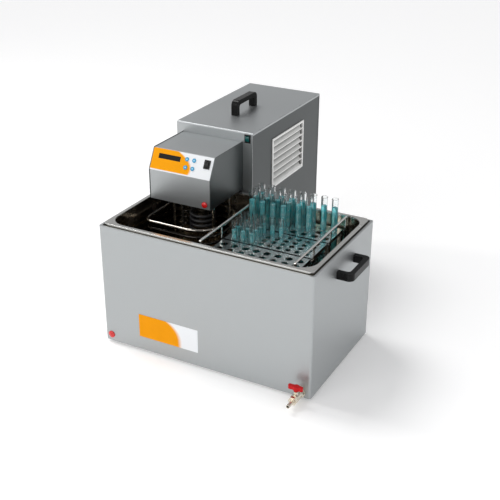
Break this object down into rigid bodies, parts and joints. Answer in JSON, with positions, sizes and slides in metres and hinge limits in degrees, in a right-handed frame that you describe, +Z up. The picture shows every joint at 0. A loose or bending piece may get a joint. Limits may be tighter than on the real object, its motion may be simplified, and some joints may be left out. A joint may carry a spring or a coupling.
{
  "type": "refrigerated circulating water bath",
  "caption": "Rectangular stainless water bath with an overhung control head, a chiller box behind, a drain tap and lift-out racks holding test tubes of teal liquid.",
  "frame": {"origin": "on the table plane, under the centre of the whole machine's box", "axes": "+X to the right along the control front, +Y to the back, +Z up"},
  "size_m": [0.638, 0.8138, 0.515],
  "materials": {
    "steel": "fine vertical brushing",
    "side_steel": "brushed, in the darker tone of the side panels",
    "cheek": "brushed, dark",
    "inner_steel": "zinc-plated inner sheet",
    "tank_steel": "deep-drawn, bright polished",
    "polished": "electropolished bar and tube",
    "rack_steel": "satin sheet with punched holes",
    "handle": "moulded, fine grain",
    "rubber": "moulded",
    "mat": "mineral wool mat",
    "label": "printed film, orange fading to white",
    "fascia": "printed film, orange and white",
    "display": "dark tinted window",
    "key": "blue ring with a pale middle",
    "red": "glossy",
    "lever": "dipped plastic sleeve",
    "black": "moulded",
    "green_rocker": "tinted translucent cap",
    "nickel": "nickel plated",
    "louvre": "moulded",
    "copper": "drawn copper tube",
    "fins": "rolled fins",
    "black_steel": "semi-gloss enamel",
    "motor": "cast",
    "board": "solder resist",
    "zinc": "bright zinc plated",
    "glass": "clear borosilicate",
    "liquid": "clear teal liquid"
  },
  "bodies": {
    "machine": {"bath_casing": "steel", "bath_base_plate": "inner_steel", "feet": "rubber", "tank_insulation": "mat", "inner_tank": "tank_steel", "side_handle_left": "handle", "side_handle_right": "handle", "handle_screws": "zinc", "front_label": "label", "front_plug": "red", "drain_pipe": "polished", "drain_nut": "nickel", "tap_body": "nickel", "hose_tail": "nickel", "chiller_wrap": "steel", "chiller_side_left": "side_steel", "chiller_side_right": "side_steel", "chiller_base": "inner_steel", "lid_handle": "handle", "louvre_grille": "louvre", "condenser": "fins", "fan_shroud": "black_steel", "fan_motor": "motor", "compressor": "black_steel", "refrigerant_lines": "copper", "cooling_coil": "tank_steel", "mains_inlet": "black", "rocker_bezels": "black", "joining_bolts": "zinc", "head_cover": "steel", "head_cheeks": "cheek", "head_base": "inner_steel", "control_fascia": "fascia", "display_window": "display", "control_board": "board", "pump_motor": "motor", "pump_housing": "tank_steel", "heater": "black_steel", "temperature_probe": "polished"},
    "power_rocker_cap": {"mains_rocker": "black"},
    "chiller_rocker_cap": {"chiller_rocker": "green_rocker"},
    "key_up": {"key_up": "key"},
    "key_down": {"key_down": "key"},
    "key_set": {"key_set": "key"},
    "key_run": {"key_run": "key"},
    "cutout_reset": {"cutout_button": "red"},
    "tap_handle": {"tap_ball": "polished", "tap_lever": "lever"},
    "pump_rotor": {"pump_shaft": "polished", "impeller": "black"},
    "fan_rotor": {"fan_blades": "black"},
    "lift_out_carrier": {"carrier": "polished"},
    "front_rack": {"rack_front": "rack_steel"},
    "middle_rack": {"rack_middle": "rack_steel"},
    "rear_rack": {"rack_rear": "rack_steel"},
    "tall_tube_set": {"tall_tubes": "glass", "tall_tube_liquid": "liquid"},
    "short_tube_set": {"short_tubes": "glass", "short_tube_liquid": "liquid"}
  },
  "joints": [
    {"name": "power_rocker_tilt", "type": "hinge", "parent": "machine", "child": "power_rocker_cap", "pos_m": [-0.097, -0.13955, 0.43355], "axis": [1, 0, 0], "range_deg": [-18, 0]},
    {"name": "chiller_rocker_tilt", "type": "hinge", "parent": "machine", "child": "chiller_rocker_cap", "pos_m": [-0.0657, 0.006, 0.4605], "axis": [1, 0, 0], "range_deg": [-18, 0]},
    {"name": "key_up_press", "type": "slide", "parent": "machine", "child": "key_up", "axis": [0, 0.8828, -0.4697], "range_m": [0, 0.0008], "stiffness_N_per_m": 400, "springref_m": -0.0006},
    {"name": "key_down_press", "type": "slide", "parent": "machine", "child": "key_down", "axis": [0, 0.8828, -0.4697], "range_m": [0, 0.0008], "stiffness_N_per_m": 400, "springref_m": -0.0006},
    {"name": "key_set_press", "type": "slide", "parent": "machine", "child": "key_set", "axis": [0, 0.8828, -0.4697], "range_m": [0, 0.0008], "stiffness_N_per_m": 400, "springref_m": -0.0006},
    {"name": "key_run_press", "type": "slide", "parent": "machine", "child": "key_run", "axis": [0, 0.8828, -0.4697], "range_m": [0, 0.0008], "stiffness_N_per_m": 400, "springref_m": -0.0006},
    {"name": "cutout_press", "type": "slide", "parent": "machine", "child": "cutout_reset", "axis": [0, 1, 0], "range_m": [0, 0.0015], "stiffness_N_per_m": 600, "springref_m": -0.001},
    {"name": "tap_turn", "type": "hinge", "parent": "machine", "child": "tap_handle", "pos_m": [0.256, -0.364, 0.02], "axis": [0, 0, 1], "range_deg": [0, 90]},
    {"name": "pump_spin", "type": "hinge", "parent": "machine", "child": "pump_rotor", "pos_m": [-0.1525, -0.075, 0.2], "axis": [0, 0, 1], "continuous": true},
    {"name": "fan_spin", "type": "hinge", "parent": "machine", "child": "fan_rotor", "pos_m": [-0.16, 0.208, 0.36], "axis": [1, 0, 0], "continuous": true},
    {"name": "carrier_lift", "type": "slide", "parent": "machine", "child": "lift_out_carrier", "axis": [0, 0, 1], "range_m": [0, 0.25]},
    {"name": "front_rack_lift", "type": "slide", "parent": "lift_out_carrier", "child": "front_rack", "axis": [0, 0, 1], "range_m": [0, 0.12]},
    {"name": "middle_rack_lift", "type": "slide", "parent": "lift_out_carrier", "child": "middle_rack", "axis": [0, 0, 1], "range_m": [0, 0.12]},
    {"name": "rear_rack_lift", "type": "slide", "parent": "lift_out_carrier", "child": "rear_rack", "axis": [0, 0, 1], "range_m": [0, 0.12]},
    {"name": "tall_tubes_lift", "type": "slide", "parent": "rear_rack", "child": "tall_tube_set", "axis": [0, 0, 1], "range_m": [0, 0.14]},
    {"name": "short_tubes_lift", "type": "slide", "parent": "middle_rack", "child": "short_tube_set", "axis": [0, 0, 1], "range_m": [0, 0.09]}
  ]
}
